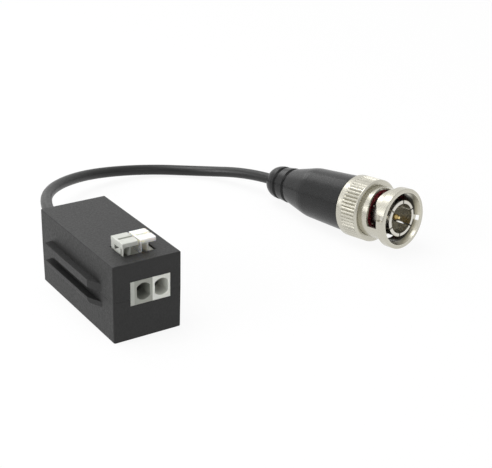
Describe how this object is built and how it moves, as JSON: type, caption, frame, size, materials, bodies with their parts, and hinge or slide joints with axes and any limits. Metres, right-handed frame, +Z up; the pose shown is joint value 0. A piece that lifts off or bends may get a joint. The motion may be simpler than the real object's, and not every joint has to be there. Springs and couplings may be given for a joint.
{
  "type": "video balun with bayonet plug pigtail",
  "caption": "Passive video balun: small two-part housing with sprung wire terminals, a short coaxial tail and a bayonet plug with a turning coupling nut.",
  "frame": {"origin": "centre of the housing's flat bottom face, where it stands on a table", "axes": "+X across the housing towards its tongue side, +Y towards the cable exit, the wire entries face -Y, +Z up; the plug lies on the same table at +X"},
  "size_m": [0.0843, 0.0777, 0.019],
  "materials": {
    "housing_plastic": "fine textured satin black",
    "grey_plastic": "light grey moulded nylon",
    "white_plastic": "off-white moulded nylon",
    "lever_grey_plastic": "pale grey moulded nylon",
    "lever_white_plastic": "white moulded nylon",
    "tinned_copper": "tin plated copper alloy",
    "spring_steel": "bright stainless spring steel",
    "board_laminate": "green solder mask",
    "ferrite": "uncoated ferrite",
    "enamelled_wire": "enamelled copper wire",
    "ceramic": "dipped ceramic",
    "resistor_lacquer": "lacquered film resistor",
    "cable_jacket": "smooth PVC jacket",
    "tie_nylon": "natural nylon",
    "nickel_plate": "bright nickel plate on brass",
    "dark_insulator": "dark acetal",
    "gold_plate": "gold plated brass",
    "red_rubber": "silicone",
    "boot_rubber": "moulded soft PVC"
  },
  "bodies": {
    "housing": {"lower_housing": "housing_plastic", "upper_housing": "housing_plastic", "terminal_end_plate": "grey_plastic", "terminal_body_grey": "grey_plastic", "terminal_body_white": "white_plastic", "circuit_board": "board_laminate", "toroid_core": "ferrite", "toroid_winding": "enamelled_wire", "ceramic_capacitor": "ceramic", "film_resistor": "resistor_lacquer", "coax_tail": "cable_jacket", "cable_tie": "tie_nylon", "contact_bar_grey": "tinned_copper", "contact_bar_white": "tinned_copper", "clamp_spring_grey": "spring_steel", "clamp_spring_white": "spring_steel", "coax_cable": "cable_jacket", "connector_body": "nickel_plate", "outer_contact": "nickel_plate", "insulator": "dark_insulator", "centre_pin": "gold_plate", "gasket": "red_rubber", "wave_washer": "spring_steel", "retaining_ring": "spring_steel", "crimp_ferrule": "nickel_plate", "coax_stub": "cable_jacket", "strain_boot": "boot_rubber"},
    "lever_grey": {"lever_grey": "lever_grey_plastic"},
    "lever_white": {"lever_white": "lever_white_plastic"},
    "nut_thrust": {"thrust_washer": "spring_steel"},
    "nut": {"coupling_nut": "nickel_plate"}
  },
  "joints": [
    {"name": "lever_grey_press", "type": "hinge", "parent": "housing", "child": "lever_grey", "pos_m": [-0.00235, -0.0083, 0.0149], "axis": [1, 0, 0], "range_deg": [0, 10], "stiffness_Nm_per_rad": 0.3, "springref_deg": -2.86},
    {"name": "lever_white_press", "type": "hinge", "parent": "housing", "child": "lever_white", "pos_m": [0.00161, -0.0083, 0.0149], "axis": [1, 0, 0], "range_deg": [0, 10], "stiffness_Nm_per_rad": 0.3, "springref_deg": -2.86},
    {"name": "nut_float", "type": "slide", "parent": "housing", "child": "nut_thrust", "axis": [0.1612, -0.9834, 0.0837], "range_m": [0, 0.0005], "stiffness_N_per_m": 2000, "springref_m": -0.0005},
    {"name": "nut_turn", "type": "hinge", "parent": "nut_thrust", "child": "nut", "pos_m": [0.06725, -0.00513, 0.008], "axis": [0.1612, -0.9834, 0.0837], "continuous": true}
  ]
}
